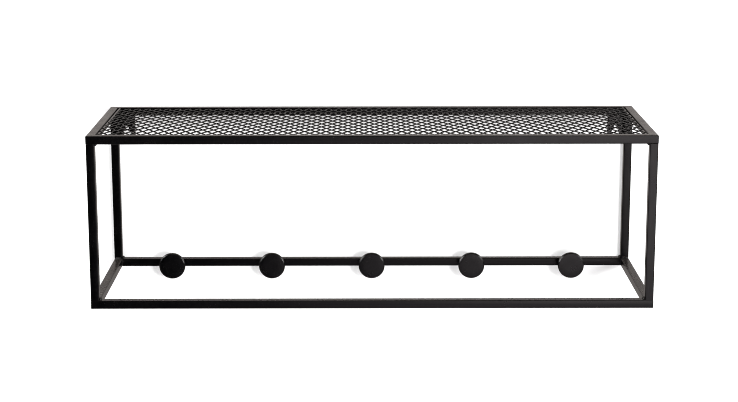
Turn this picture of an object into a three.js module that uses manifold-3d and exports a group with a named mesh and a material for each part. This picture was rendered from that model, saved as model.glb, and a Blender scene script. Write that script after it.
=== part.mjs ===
// Wall-hung hat and coat rack: a welded box frame of square steel tube with an expanded-metal hat
// shelf, two keyhole hanging plates and a row of turned coat knobs on the rear bottom rail.
// Millimetres. +X runs along the rack to the right, +Y into the wall, +Z up.
// The origin is on the wall face of the rear top rail, at its mid length and mid height.
import * as THREE from "three";
import { mergeVertices } from "three/addons/utils/BufferGeometryUtils.js";
import Module from "manifold-3d";

// Overall sizes of the welded frame
const RACK_WIDTH = 800;
const RACK_DEPTH = 250;
const RACK_HEIGHT = 250;

// Square steel tube
const TUBE_SIDE = 12;
const TUBE_WALL = 1.2;
const TUBE_EDGE_RADIUS = 1.5;
const MITRE_ROOT_GAP = 0.3;

// Weld beads between a post and the two rails that it stands on or hangs from
const BEAD_LEG = 3.2;

// Expanded-metal shelf, rolled nearly flat
const MESH_SHORT_WAY = 17.1;
const MESH_LONG_WAY = 27.6;
const MESH_SHEET_THICKNESS = 1.2;
const MESH_STRAND_WIDTH = 2.8;
const MESH_BOND_LENGTH = 3.5;
const MESH_STRAND_TILT_DEGREES = 4;
const MESH_BELOW_FRAME_TOP = 1.6;
const MESH_SEAT_GAP = 0.3;
const MESH_END_GAP = 1.2;

// Keyhole hanging plates
const PLATE_WIDTH = 25;
const PLATE_HEIGHT = 44;
const PLATE_THICKNESS = 3;
const KEYHOLE_HEAD_DIAMETER = 12;
const KEYHOLE_SLOT_WIDTH = 5.2;
const KEYHOLE_BELOW_PLATE_TOP = 28.5;
const KEYHOLE_SLOT_RISE = 9.5;

// Coat knobs
const KNOB_COUNT = 5;
const KNOB_END_MARGIN = 80;
const KNOB_DISC_DIAMETER = 40;
const KNOB_DISC_THICKNESS = 6;
const KNOB_DISC_CHAMFER = 1.2;
const KNOB_REACH = 23.5;
const STEM_DIAMETER = 12;
const STEM_SPIGOT_DIAMETER = 6;
const STEM_SPIGOT_LENGTH = 3;
const FIT_CLEARANCE = 0.3;

// Socket head screw that holds a knob
const SCREW_DIAMETER = 4;
const SCREW_LENGTH = 14;
const SCREW_HEAD_DIAMETER = 7;
const SCREW_HEAD_HEIGHT = 4;
const SCREW_SOCKET_WIDTH = 3;
const SCREW_SOCKET_DEPTH = 2;
const SCREW_TIP_CHAMFER = 0.5;
const SCREW_ACCESS_HOLE_DIAMETER = 8.4;

// Facets
const TUBE_EDGE_STEPS = 1;
const BEAD_ARC_STEPS = 2;
const KEYHOLE_ARC_STEPS = 8;
const KNOB_SIDES = 24;
const SCREW_SIDES = 12;
const SOCKET_SIDES = 6;
const HOLE_SIDES = 12;
const CUT_OVERRUN = 1;

// Places worked out from the sizes
const HALF_WIDTH = RACK_WIDTH / 2;
const HALF_TUBE = TUBE_SIDE / 2;
const INNER_HALF_WIDTH = HALF_WIDTH - TUBE_SIDE;
const FRAME_TOP = HALF_TUBE;
const FRAME_BOTTOM = FRAME_TOP - RACK_HEIGHT;
const POST_TOP = FRAME_TOP - TUBE_SIDE;
const POST_BOTTOM = FRAME_BOTTOM + TUBE_SIDE;
const POST_LENGTH = POST_TOP - POST_BOTTOM;
const TOP_RAIL_Z = FRAME_TOP - HALF_TUBE;
const BOTTOM_RAIL_Z = FRAME_BOTTOM + HALF_TUBE;
const REAR_LINE_Y = -HALF_TUBE;
const FRONT_LINE_Y = HALF_TUBE - RACK_DEPTH;
const SIDE_LINE_X = HALF_WIDTH - HALF_TUBE;
const TUBE_FLAT = TUBE_SIDE - 2 * TUBE_EDGE_RADIUS;

const X_AXIS = new THREE.Vector3(1, 0, 0);
const Y_AXIS = new THREE.Vector3(0, 1, 0);
const Z_AXIS = new THREE.Vector3(0, 0, 1);

const wasm = await Module();
wasm.setup();

const PAINT = { color: 0x1d1b1d, roughness: 0.46, metalness: 0.35 };

// Black satin paint on the frame tubes
function framePaint() {
  return new THREE.MeshStandardMaterial(PAINT);
}

// The same paint on the expanded metal, a little rougher where the cut edges are coated
function meshPaint() {
  return new THREE.MeshStandardMaterial({ ...PAINT, color: 0x232123, roughness: 0.52 });
}

// Paint over flat bar
function platePaint() {
  return new THREE.MeshStandardMaterial({ ...PAINT, color: 0x1a191a });
}

// Paint on the turned knobs
function knobPaint() {
  return new THREE.MeshStandardMaterial({ ...PAINT, color: 0x1b191b, roughness: 0.5 });
}

// Zinc-plated steel screw
function screwSteel() {
  return new THREE.MeshStandardMaterial({ color: 0xa3a5a8, roughness: 0.35, metalness: 0.9 });
}

// Paint over a weld bead
function weldPaint() {
  return new THREE.MeshStandardMaterial({ ...PAINT, roughness: 0.4 });
}

// A manifold-3d solid from a closed three.js geometry
function solidOf(geometry) {
  const bare = geometry.clone();
  bare.deleteAttribute("normal");
  bare.deleteAttribute("uv");
  const merged = mergeVertices(bare);
  const index = merged.index.array;
  const triVerts = [];
  for (let i = 0; i < index.length; i += 3) {
    const [a, b, c] = [index[i], index[i + 1], index[i + 2]];
    if (a !== b && b !== c && c !== a) triVerts.push(a, b, c);
  }
  return new wasm.Manifold(
    new wasm.Mesh({
      numProp: 3,
      vertProperties: Float32Array.from(merged.attributes.position.array),
      triVerts: Uint32Array.from(triVerts),
    }),
  );
}

// A three.js geometry from a manifold-3d solid
function geometryOf(solid) {
  const mesh = solid.getMesh();
  const geometry = new THREE.BufferGeometry();
  geometry.setAttribute("position", new THREE.BufferAttribute(mesh.vertProperties, 3));
  geometry.setIndex(new THREE.BufferAttribute(mesh.triVerts, 1));
  geometry.computeVertexNormals();
  return geometry;
}

// A body turned round the local Y axis from [radius, y] pairs that start and end on the axis
function turned(profile, sides) {
  const points = profile.map(([radius, y]) => new THREE.Vector2(radius, y));
  return geometryOf(solidOf(new THREE.LatheGeometry(points, sides)));
}

// A cylinder along Y between two places on that axis, used to cut holes
function drill(diameter, fromY, toY, sides) {
  const cylinder = new THREE.CylinderGeometry(diameter / 2, diameter / 2, toY - fromY, sides);
  cylinder.translate(0, (fromY + toY) / 2, 0);
  return cylinder;
}

// Square tube section with rounded outer edges, centred on its axis
function tubeSection() {
  const reach = HALF_TUBE - TUBE_EDGE_RADIUS;
  const bore = HALF_TUBE - TUBE_WALL;
  const quarter = Math.PI / 2;
  const outline = new THREE.Shape();
  outline.absarc(reach, reach, TUBE_EDGE_RADIUS, 0, quarter, false);
  outline.absarc(-reach, reach, TUBE_EDGE_RADIUS, quarter, 2 * quarter, false);
  outline.absarc(-reach, -reach, TUBE_EDGE_RADIUS, 2 * quarter, 3 * quarter, false);
  outline.absarc(reach, -reach, TUBE_EDGE_RADIUS, 3 * quarter, 4 * quarter, false);
  outline.closePath();
  const hollow = new THREE.Path();
  hollow.moveTo(-bore, -bore);
  hollow.lineTo(-bore, bore);
  hollow.lineTo(bore, bore);
  hollow.lineTo(bore, -bore);
  hollow.closePath();
  outline.holes.push(hollow);
  return outline;
}

// A square-cut tube that runs along local Z from the origin
function straightTube(length) {
  return new THREE.ExtrudeGeometry(tubeSection(), {
    depth: length,
    bevelEnabled: false,
    curveSegments: TUBE_EDGE_STEPS,
  });
}

// A tube whose ends are cut at 45 degrees: its side at local +X keeps the whole length, less half a root gap
function mitredTube(length) {
  const tube = straightTube(length);
  const position = tube.getAttribute("position");
  const setBack = MITRE_ROOT_GAP / Math.SQRT2;
  for (let i = 0; i < position.count; i += 1) {
    const cut = HALF_TUBE - position.getX(i) + setBack;
    const isFarEnd = position.getZ(i) > length / 2;
    position.setZ(i, isFarEnd ? length - cut : cut);
  }
  tube.computeVertexNormals();
  return tube;
}

// A named mesh with its local X and Y turned to two of the rack's directions
function placed(name, geometry, material, position, localX, localY) {
  const mesh = new THREE.Mesh(geometry, material);
  mesh.name = name;
  mesh.position.copy(position);
  const localZ = new THREE.Vector3().crossVectors(localX, localY);
  mesh.setRotationFromMatrix(new THREE.Matrix4().makeBasis(localX, localY, localZ));
  return mesh;
}

// One mitred rail of a frame, with its outer side towards outward
function frameRail(name, outward, length, z) {
  const isLongRail = Math.abs(outward.y) > 0;
  const along = new THREE.Vector3().crossVectors(outward, Z_AXIS);
  const centre = isLongRail
    ? new THREE.Vector3(0, outward.y > 0 ? REAR_LINE_Y : FRONT_LINE_Y, z)
    : new THREE.Vector3(outward.x * SIDE_LINE_X, -RACK_DEPTH / 2, z);
  const start = centre.addScaledVector(along, -length / 2);
  return placed(name, mitredTube(length), framePaint(), start, outward, Z_AXIS);
}

// The four mitred rails of the top or the bottom frame
function frameRails(level, z) {
  return [
    frameRail(`${level}_rail_front`, Y_AXIS.clone().negate(), RACK_WIDTH, z),
    frameRail(`${level}_rail_rear`, Y_AXIS.clone(), RACK_WIDTH, z),
    frameRail(`${level}_rail_left`, X_AXIS.clone().negate(), RACK_DEPTH, z),
    frameRail(`${level}_rail_right`, X_AXIS.clone(), RACK_DEPTH, z),
  ];
}

// Places of the knobs along the rear bottom rail
function knobPlaces() {
  const first = KNOB_END_MARGIN - INNER_HALF_WIDTH;
  const pitch = (-2 * first) / (KNOB_COUNT - 1);
  return Array.from({ length: KNOB_COUNT }, (_, i) => first + i * pitch);
}

// The rear bottom rail drilled for its knobs: a screw hole in the front wall, an access hole in the wall face
function drilledKnobRail(rail) {
  rail.updateMatrixWorld(true);
  let solid = solidOf(rail.geometry.clone().applyMatrix4(rail.matrixWorld));
  const middle = REAR_LINE_Y;
  const front = -TUBE_SIDE - CUT_OVERRUN;
  for (const x of knobPlaces()) {
    const cuts = [
      drill(SCREW_DIAMETER + 2 * FIT_CLEARANCE, front, middle, HOLE_SIDES),
      drill(SCREW_ACCESS_HOLE_DIAMETER, middle, CUT_OVERRUN, HOLE_SIDES),
    ];
    for (const cut of cuts) solid = solid.subtract(solidOf(cut.translate(x, 0, BOTTOM_RAIL_Z)));
  }
  const drilled = new THREE.Mesh(geometryOf(solid), rail.material);
  drilled.name = rail.name;
  return drilled;
}

// The posts stand between the two frames
function posts() {
  const corners = [
    ["post_front_left", -SIDE_LINE_X, FRONT_LINE_Y],
    ["post_front_right", SIDE_LINE_X, FRONT_LINE_Y],
    ["post_rear_left", -SIDE_LINE_X, REAR_LINE_Y],
    ["post_rear_right", SIDE_LINE_X, REAR_LINE_Y],
  ];
  return corners.map(([name, x, y]) => {
    const foot = new THREE.Vector3(x, y, POST_BOTTOM);
    return placed(name, straightTube(POST_LENGTH), framePaint(), foot, X_AXIS, Y_AXIS);
  });
}

// Hollow-faced fillet weld of a given run, its legs along local X and Y and its run centred on local Z
function weldBead(run) {
  const profile = new THREE.Shape();
  profile.moveTo(0, 0);
  profile.lineTo(BEAD_LEG, 0);
  profile.absarc(BEAD_LEG, BEAD_LEG, BEAD_LEG, -Math.PI / 2, -Math.PI, true);
  profile.closePath();
  const bead = new THREE.ExtrudeGeometry(profile, {
    depth: run,
    bevelEnabled: false,
    curveSegments: BEAD_ARC_STEPS,
  });
  return bead.translate(0, 0, -run / 2);
}

// Two beads at each corner of each frame: one on the long rail and one on the short rail
function cornerBeads() {
  const beads = [];
  for (const level of ["top", "bottom"]) {
    const isTop = level === "top";
    const z = isTop ? POST_TOP : POST_BOTTOM;
    const away = Z_AXIS.clone().multiplyScalar(isTop ? -1 : 1);
    for (const [depthName, lineY, inY] of [["front", FRONT_LINE_Y, 1], ["rear", REAR_LINE_Y, -1]]) {
      for (const [sideName, side] of [["left", -1], ["right", 1]]) {
        const name = `weld_${level}_${depthName}_${sideName}`;
        const meetsPlate = isTop && depthName === "rear";
        const wallSide = meetsPlate ? PLATE_THICKNESS + FIT_CLEARANCE - TUBE_EDGE_RADIUS : 0;
        const longPlace = new THREE.Vector3(side * INNER_HALF_WIDTH, lineY - wallSide / 2, z);
        const longIn = X_AXIS.clone().multiplyScalar(-side);
        const longBead = weldBead(TUBE_FLAT - wallSide);
        beads.push(placed(`${name}_long_rail`, longBead, weldPaint(), longPlace, longIn, away));
        const shortPlace = new THREE.Vector3(side * SIDE_LINE_X, lineY + inY * HALF_TUBE, z);
        const shortIn = Y_AXIS.clone().multiplyScalar(inY);
        const shortBead = weldBead(TUBE_FLAT);
        beads.push(placed(`${name}_short_rail`, shortBead, weldPaint(), shortPlace, shortIn, away));
      }
    }
  }
  return beads;
}

// One bond of the expanded metal: its four corners, in the order right, back, left, front, and its crown.
// The bond leans a little, so that its right edge stands above its left edge.
function bondPoints(x, y) {
  const tilt = THREE.MathUtils.degToRad(MESH_STRAND_TILT_DEGREES);
  const across = MESH_STRAND_WIDTH * Math.cos(tilt);
  const rise = MESH_STRAND_WIDTH * Math.sin(tilt);
  const half = MESH_BOND_LENGTH / 2;
  const lift = MESH_SHEET_THICKNESS;
  return {
    corners: [
      [x + across, y, rise],
      [x, y + half, 0],
      [x - across, y, -rise],
      [x, y - half, 0],
    ],
    crown: [x - lift * Math.sin(tilt), y, lift * Math.cos(tilt)],
  };
}

// Expanded metal between two outer sizes. Bonds stand on a staggered grid, each strand runs from a bond
// to the next one diagonally behind it, and every strand has a flat underside and a crowned upper side.
function expandedMetal(width, depth) {
  const tilt = THREE.MathUtils.degToRad(MESH_STRAND_TILT_DEGREES);
  const gridWidth = width - 2 * MESH_STRAND_WIDTH * Math.cos(tilt);
  const gridDepth = depth - MESH_BOND_LENGTH;
  const columns = Math.round((2 * gridWidth) / MESH_SHORT_WAY);
  const rows = Math.round((2 * gridDepth) / MESH_LONG_WAY);
  const positions = [];
  const triangles = [];
  const bonds = new Map();
  const key = (column, row) => row * (columns + 1) + column;

  for (let row = 0; row <= rows; row += 1) {
    for (let column = row % 2; column <= columns; column += 2) {
      const x = (column / columns) * gridWidth - gridWidth / 2;
      const y = (row / rows) * gridDepth - gridDepth / 2;
      const { corners, crown } = bondPoints(x, y);
      const first = positions.length / 3;
      for (const point of [...corners, crown]) positions.push(...point);
      bonds.set(key(column, row), first);
      triangles.push(first, first + 2, first + 1, first, first + 3, first + 2);
    }
  }

  const quad = (a, b, c, d) => triangles.push(a, b, c, a, c, d);
  const bondAt = (column, row) => {
    const isInside = column >= 0 && column <= columns && row >= 0 && row <= rows;
    return isInside ? bonds.get(key(column, row)) : undefined;
  };

  for (const [place, bond] of bonds) {
    const column = place % (columns + 1);
    const row = Math.floor(place / (columns + 1));
    const [right, back, left, front, crown] = [0, 1, 2, 3, 4].map((offset) => bond + offset);
    const strands = [
      [bondAt(column + 1, row + 1), right, back],
      [bondAt(column - 1, row + 1), back, left],
      [bondAt(column - 1, row - 1), left, front],
      [bondAt(column + 1, row - 1), front, right],
    ];
    for (const [other, near, far] of strands) {
      if (other === undefined) triangles.push(crown, near, far);
    }
    const [rightBack, leftBack] = [strands[0][0], strands[1][0]];
    if (rightBack !== undefined) {
      const [endLeft, endFront, endCrown] = [rightBack + 2, rightBack + 3, rightBack + 4];
      quad(right, back, endLeft, endFront);
      quad(right, endFront, endCrown, crown);
      quad(back, crown, endCrown, endLeft);
    }
    if (leftBack !== undefined) {
      const [endRight, endFront, endCrown] = [leftBack, leftBack + 3, leftBack + 4];
      quad(back, left, endFront, endRight);
      quad(back, endRight, endCrown, crown);
      quad(left, crown, endCrown, endFront);
    }
  }

  const geometry = new THREE.BufferGeometry();
  geometry.setAttribute("position", new THREE.Float32BufferAttribute(positions, 3));
  geometry.setIndex(triangles);
  geometry.computeVertexNormals();
  return geometry;
}

// The hat shelf lies inside the top frame: its bonds meet the long rails, its ends clear the short ones
function meshShelf() {
  const width = RACK_WIDTH - 2 * TUBE_SIDE - 2 * MESH_END_GAP;
  const depth = RACK_DEPTH - 2 * TUBE_SIDE - 2 * MESH_SEAT_GAP;
  const centre = new THREE.Vector3(0, -RACK_DEPTH / 2, FRAME_TOP - MESH_BELOW_FRAME_TOP);
  return placed("mesh_shelf", expandedMetal(width, depth), meshPaint(), centre, X_AXIS, Y_AXIS);
}

// Flat bar with a keyhole, seen from the front: local X to the right, local Y up, local Z out of the wall
function keyholePlate() {
  const half = PLATE_WIDTH / 2;
  const outline = new THREE.Shape();
  outline.moveTo(-half, -PLATE_HEIGHT);
  outline.lineTo(half, -PLATE_HEIGHT);
  outline.lineTo(half, 0);
  outline.lineTo(-half, 0);
  outline.closePath();

  const headRadius = KEYHOLE_HEAD_DIAMETER / 2;
  const slotRadius = KEYHOLE_SLOT_WIDTH / 2;
  const headY = -KEYHOLE_BELOW_PLATE_TOP;
  const slotY = headY + KEYHOLE_SLOT_RISE;
  const neck = Math.acos(slotRadius / headRadius);
  const keyhole = new THREE.Path();
  keyhole.absarc(0, slotY, slotRadius, 0, Math.PI, false);
  keyhole.absarc(0, headY, headRadius, Math.PI - neck, 2 * Math.PI + neck, false);
  keyhole.closePath();
  outline.holes.push(keyhole);
  return new THREE.ExtrudeGeometry(outline, {
    depth: PLATE_THICKNESS,
    bevelEnabled: false,
    curveSegments: KEYHOLE_ARC_STEPS,
  });
}

// The plates hang under the rear top rail, each against its rear post and flush with the wall face
function hangingPlates() {
  return [["hanging_plate_left", -1], ["hanging_plate_right", 1]].map(([name, side]) => {
    const x = side * (INNER_HALF_WIDTH - PLATE_WIDTH / 2);
    const place = new THREE.Vector3(x, 0, POST_TOP);
    return placed(name, keyholePlate(), platePaint(), place, X_AXIS, Z_AXIS);
  });
}

// Turned disc, its back face at the origin and its front face towards -Y, with a blind socket for the stem
function knobDisc() {
  const radius = KNOB_DISC_DIAMETER / 2;
  const front = -KNOB_DISC_THICKNESS;
  const socketRadius = STEM_SPIGOT_DIAMETER / 2 + FIT_CLEARANCE;
  const socketEnd = -STEM_SPIGOT_LENGTH - FIT_CLEARANCE;
  return turned(
    [
      [0, front],
      [radius - KNOB_DISC_CHAMFER, front],
      [radius, front + KNOB_DISC_CHAMFER],
      [radius, 0],
      [socketRadius, 0],
      [socketRadius, socketEnd],
      [0, socketEnd],
    ],
    KNOB_SIDES,
  );
}

// Turned stem, its foot on the rail at the origin and its spigot towards -Y, bored for the screw
function knobStem() {
  const shoulder = KNOB_DISC_THICKNESS - KNOB_REACH;
  const radius = STEM_DIAMETER / 2;
  const boreRadius = SCREW_DIAMETER / 2 + FIT_CLEARANCE;
  const boreEnd = TUBE_WALL - SCREW_LENGTH - FIT_CLEARANCE;
  return turned(
    [
      [0, shoulder - STEM_SPIGOT_LENGTH],
      [STEM_SPIGOT_DIAMETER / 2, shoulder - STEM_SPIGOT_LENGTH],
      [STEM_SPIGOT_DIAMETER / 2, shoulder],
      [radius, shoulder],
      [radius, 0],
      [boreRadius, 0],
      [boreRadius, boreEnd],
      [0, boreEnd],
    ],
    KNOB_SIDES / 2,
  );
}

// Socket head cap screw along Y, the underside of its head at the origin and its tip towards -Y
function knobScrew() {
  const radius = SCREW_DIAMETER / 2;
  const body = turned(
    [
      [0, -SCREW_LENGTH],
      [radius - SCREW_TIP_CHAMFER, -SCREW_LENGTH],
      [radius, SCREW_TIP_CHAMFER - SCREW_LENGTH],
      [radius, 0],
      [SCREW_HEAD_DIAMETER / 2, 0],
      [SCREW_HEAD_DIAMETER / 2, SCREW_HEAD_HEIGHT],
      [0, SCREW_HEAD_HEIGHT],
    ],
    SCREW_SIDES,
  );
  const acrossCorners = SCREW_SOCKET_WIDTH / Math.cos(Math.PI / SOCKET_SIDES);
  const socketFloor = SCREW_HEAD_HEIGHT - SCREW_SOCKET_DEPTH;
  const socket = drill(acrossCorners, socketFloor, SCREW_HEAD_HEIGHT + CUT_OVERRUN, SOCKET_SIDES);
  return geometryOf(solidOf(body).subtract(solidOf(socket)));
}

// Disc, stem and screw at each knob's place
function knobs() {
  const railFront = -TUBE_SIDE;
  return knobPlaces().flatMap((x, i) => {
    const at = (y) => new THREE.Vector3(x, y, BOTTOM_RAIL_Z);
    const number = i + 1;
    const discBack = railFront - KNOB_REACH + KNOB_DISC_THICKNESS;
    const headSeat = railFront + TUBE_WALL;
    return [
      placed(`knob_disc_${number}`, knobDisc(), knobPaint(), at(discBack), X_AXIS, Y_AXIS),
      placed(`knob_stem_${number}`, knobStem(), knobPaint(), at(railFront), X_AXIS, Y_AXIS),
      placed(`knob_screw_${number}`, knobScrew(), screwSteel(), at(headSeat), X_AXIS, Y_AXIS),
    ];
  });
}

// The whole rack
function coatRack() {
  const rack = new THREE.Group();
  const topFrame = new THREE.Group();
  topFrame.add(...frameRails("top", TOP_RAIL_Z));
  const bottomFrame = new THREE.Group();
  for (const rail of frameRails("bottom", BOTTOM_RAIL_Z)) {
    bottomFrame.add(rail.name === "bottom_rail_rear" ? drilledKnobRail(rail) : rail);
  }
  rack.add(topFrame, bottomFrame, ...posts(), ...cornerBeads());
  rack.add(meshShelf(), ...hangingPlates(), ...knobs());
  return rack;
}

export default coatRack();
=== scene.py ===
"""A wall-hung coat and hat rack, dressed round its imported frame.

The rack is a welded box of black square tube with an expanded-metal hat shelf, two keyhole
plates and a row of disc knobs. Every place comes from the frame's own boxes, in metres:
+X runs along the rack to the right, +Y into the wall, +Z up.
"""

from __future__ import annotations

import logging
import math
from dataclasses import dataclass
from enum import Enum
from typing import Iterable, Sequence, Union

import bmesh
import bpy
from mathutils import Matrix, Vector

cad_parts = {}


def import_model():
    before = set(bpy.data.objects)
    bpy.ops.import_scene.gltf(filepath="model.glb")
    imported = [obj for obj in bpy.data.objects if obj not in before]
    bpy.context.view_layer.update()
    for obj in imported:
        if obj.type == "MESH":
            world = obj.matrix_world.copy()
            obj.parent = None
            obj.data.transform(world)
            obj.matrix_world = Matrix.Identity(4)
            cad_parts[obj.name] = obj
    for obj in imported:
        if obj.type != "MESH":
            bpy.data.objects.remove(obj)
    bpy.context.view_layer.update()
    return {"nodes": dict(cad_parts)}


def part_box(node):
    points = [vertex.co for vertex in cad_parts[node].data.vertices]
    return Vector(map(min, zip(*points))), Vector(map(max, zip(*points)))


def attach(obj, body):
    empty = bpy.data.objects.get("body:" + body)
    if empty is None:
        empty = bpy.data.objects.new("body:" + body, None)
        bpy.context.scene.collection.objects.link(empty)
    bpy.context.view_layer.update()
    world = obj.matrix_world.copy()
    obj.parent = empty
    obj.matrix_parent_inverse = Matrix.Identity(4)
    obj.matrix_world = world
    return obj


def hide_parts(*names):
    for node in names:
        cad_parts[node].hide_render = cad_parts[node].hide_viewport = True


LOG = logging.getLogger("coat_rack")
MM = 0.001
BODY = "root"
KNOB_COUNT = 5
CUT_OVERRUN = 1 * MM
MERGE_DISTANCE = 0.001 * MM
BEVEL_STEPS = 2
BEVEL_DEGREES = 40.0
WHITE = (1.0, 1.0, 1.0)

Mesh = bpy.types.Mesh
Shape = bmesh.types.BMesh
Colour = tuple[float, float, float]
Outline = list[tuple[float, float]]
Term = Union["Field", float]


class Slot(Enum):
    """The record's material slots."""

    FRAME = "frame_paint"
    WELD = "weld_paint"
    SHELF = "mesh_paint"
    PLATE = "plate_paint"
    KNOB = "knob_paint"
    SCREW = "screw_steel"


class Level(Enum):
    """The two welded frames."""

    TOP = "top"
    BOTTOM = "bottom"


class Side(Enum):
    """The four sides of a frame, with the direction in which each faces outwards."""

    FRONT = ("front", (0, -1, 0))
    REAR = ("rear", (0, 1, 0))
    LEFT = ("left", (-1, 0, 0))
    RIGHT = ("right", (1, 0, 0))

    @property
    def word(self) -> str:
        """The side's name as nodes use it."""
        return self.value[0]

    @property
    def outward(self) -> Vector:
        """The direction in which the side faces."""
        return Vector(self.value[1])


CORNERS = [(depth, side) for depth in (Side.FRONT, Side.REAR) for side in (Side.LEFT, Side.RIGHT)]


@dataclass
class Field:
    """An output of a node tree that sums can be written with."""

    graph: Graph
    socket: bpy.types.NodeSocket

    def __add__(self, other: Term) -> Field:
        """Sum of two fields."""
        return self.graph.math("ADD", self, other)

    def __sub__(self, other: Term) -> Field:
        """Difference of two fields."""
        return self.graph.math("SUBTRACT", self, other)

    def __rsub__(self, other: float) -> Field:
        """A number less this field."""
        return self.graph.math("SUBTRACT", other, self)

    def __mul__(self, other: Term) -> Field:
        """Product of two fields."""
        return self.graph.math("MULTIPLY", self, other)

    def __truediv__(self, other: Term) -> Field:
        """Quotient of two fields."""
        return self.graph.math("DIVIDE", self, other)

    def __rtruediv__(self, other: float) -> Field:
        """A number divided by this field."""
        return self.graph.math("DIVIDE", other, self)

    def __pow__(self, power: float) -> Field:
        """This field raised to a power."""
        return self.graph.math("POWER", self, power)

    def __abs__(self) -> Field:
        """This field without its sign."""
        return self.graph.math("ABSOLUTE", self)

    def clamped(self) -> Field:
        """This field held between 0 and 1."""
        return self.graph.math("ADD", self, 0.0, clamp=True)


@dataclass
class Graph:
    """A shader or geometry tree while it is being wired."""

    tree: bpy.types.NodeTree

    def feed(self, target: bpy.types.NodeSocket, value: object) -> None:
        """Links a field to a socket, or writes a constant on it.

        Args:
            target: The input socket.
            value: A field or a constant.
        """
        if isinstance(value, Field):
            self.tree.links.new(value.socket, target)
        else:
            target.default_value = value

    def add(self, kind: str, inputs: dict | None = None, **settings: object) -> bpy.types.Node:
        """Adds a node.

        Args:
            kind: The node's type name.
            inputs: Constants or fields by input name or index.
            settings: Properties set on the node first.

        Returns:
            The new node.
        """
        node = self.tree.nodes.new(kind)
        for name, value in settings.items():
            setattr(node, name, value)
        for key, value in (inputs or {}).items():
            self.feed(node.inputs[key], value)
        return node

    def field(self, node: bpy.types.Node, output: str | int = 0) -> Field:
        """One of a node's outputs, by name or index."""
        return Field(self, node.outputs[output])

    def out(self, kind: str, inputs: dict | None = None, output: str | int = 0, **settings: object) -> Field:
        """Adds a node, as add does, and gives one of its outputs."""
        return self.field(self.add(kind, inputs, **settings), output)

    def math(self, operation: str, *terms: Term, clamp: bool = False) -> Field:
        """A Math node over terms in order, its result held between 0 and 1 when clamped."""
        return self.out("ShaderNodeMath", dict(enumerate(terms)), operation=operation, use_clamp=clamp)

    def vector(self, x: Term, y: Term, z: Term) -> Field:
        """A vector from three components."""
        return self.out("ShaderNodeCombineXYZ", {0: x, 1: y, 2: z})

    def split(self, vector: Field) -> tuple[Field, Field, Field]:
        """The three components of a vector."""
        node = self.add("ShaderNodeSeparateXYZ", {0: vector})
        return self.field(node, 0), self.field(node, 1), self.field(node, 2)

    def noise(self, size: Term, detail: float, seed: Term, where: Field) -> Field:
        """Noise between 0 and 1 over a vector, with lumps of a size, octaves of detail and a seed."""
        inputs = {"Vector": where, "Scale": 1.0 / size, "Detail": detail, "W": seed}
        return self.out("ShaderNodeTexNoise", inputs, noise_dimensions="4D")

    def bump(self, height: Field) -> Field:
        """The surface's normal, tipped by a height in metres."""
        return self.out("ShaderNodeBump", {"Strength": 1.0, "Distance": 1.0, "Height": height})

    def blend(self, share: Field, low: Field | Colour, high: Field | Colour) -> Field:
        """A colour between two, by a share.

        Args:
            share: 0 gives the first colour, 1 the second.
            low: First colour, a field or linear RGB.
            high: Second colour, a field or linear RGB.

        Returns:
            The colour.
        """
        node = self.add("ShaderNodeMix", {"Factor": share}, data_type="RGBA")
        for socket, colour in ((6, low), (7, high)):
            self.feed(node.inputs[socket], colour if isinstance(colour, Field) else (*colour, 1.0))
        return self.field(node, 2)

    def rays(self) -> tuple[Field, Field]:
        """Which rays look at a surface.

        Returns:
            Whether the camera sees it, straight or through glass, and whether a mirror does.
        """
        path = self.add("ShaderNodeLightPath")
        eye = self.math("MAXIMUM", self.field(path, "Is Camera Ray"), self.field(path, "Is Transmission Ray"))
        return eye, self.field(path, "Is Glossy Ray")


@dataclass(frozen=True)
class Finish:
    """A procedural material."""

    name: str

    def build(self) -> bpy.types.Material:
        """Makes the material.

        Returns:
            The finished material.
        """
        material = bpy.data.materials.new(self.name)
        material.use_nodes = True
        material.node_tree.nodes.clear()
        graph = Graph(material.node_tree)
        graph.add("ShaderNodeOutputMaterial", {"Surface": self.surface(graph)})
        return material

    def surface(self, graph: Graph) -> Field:
        """The finish's own shader, wired in the material's tree."""
        raise NotImplementedError


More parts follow.
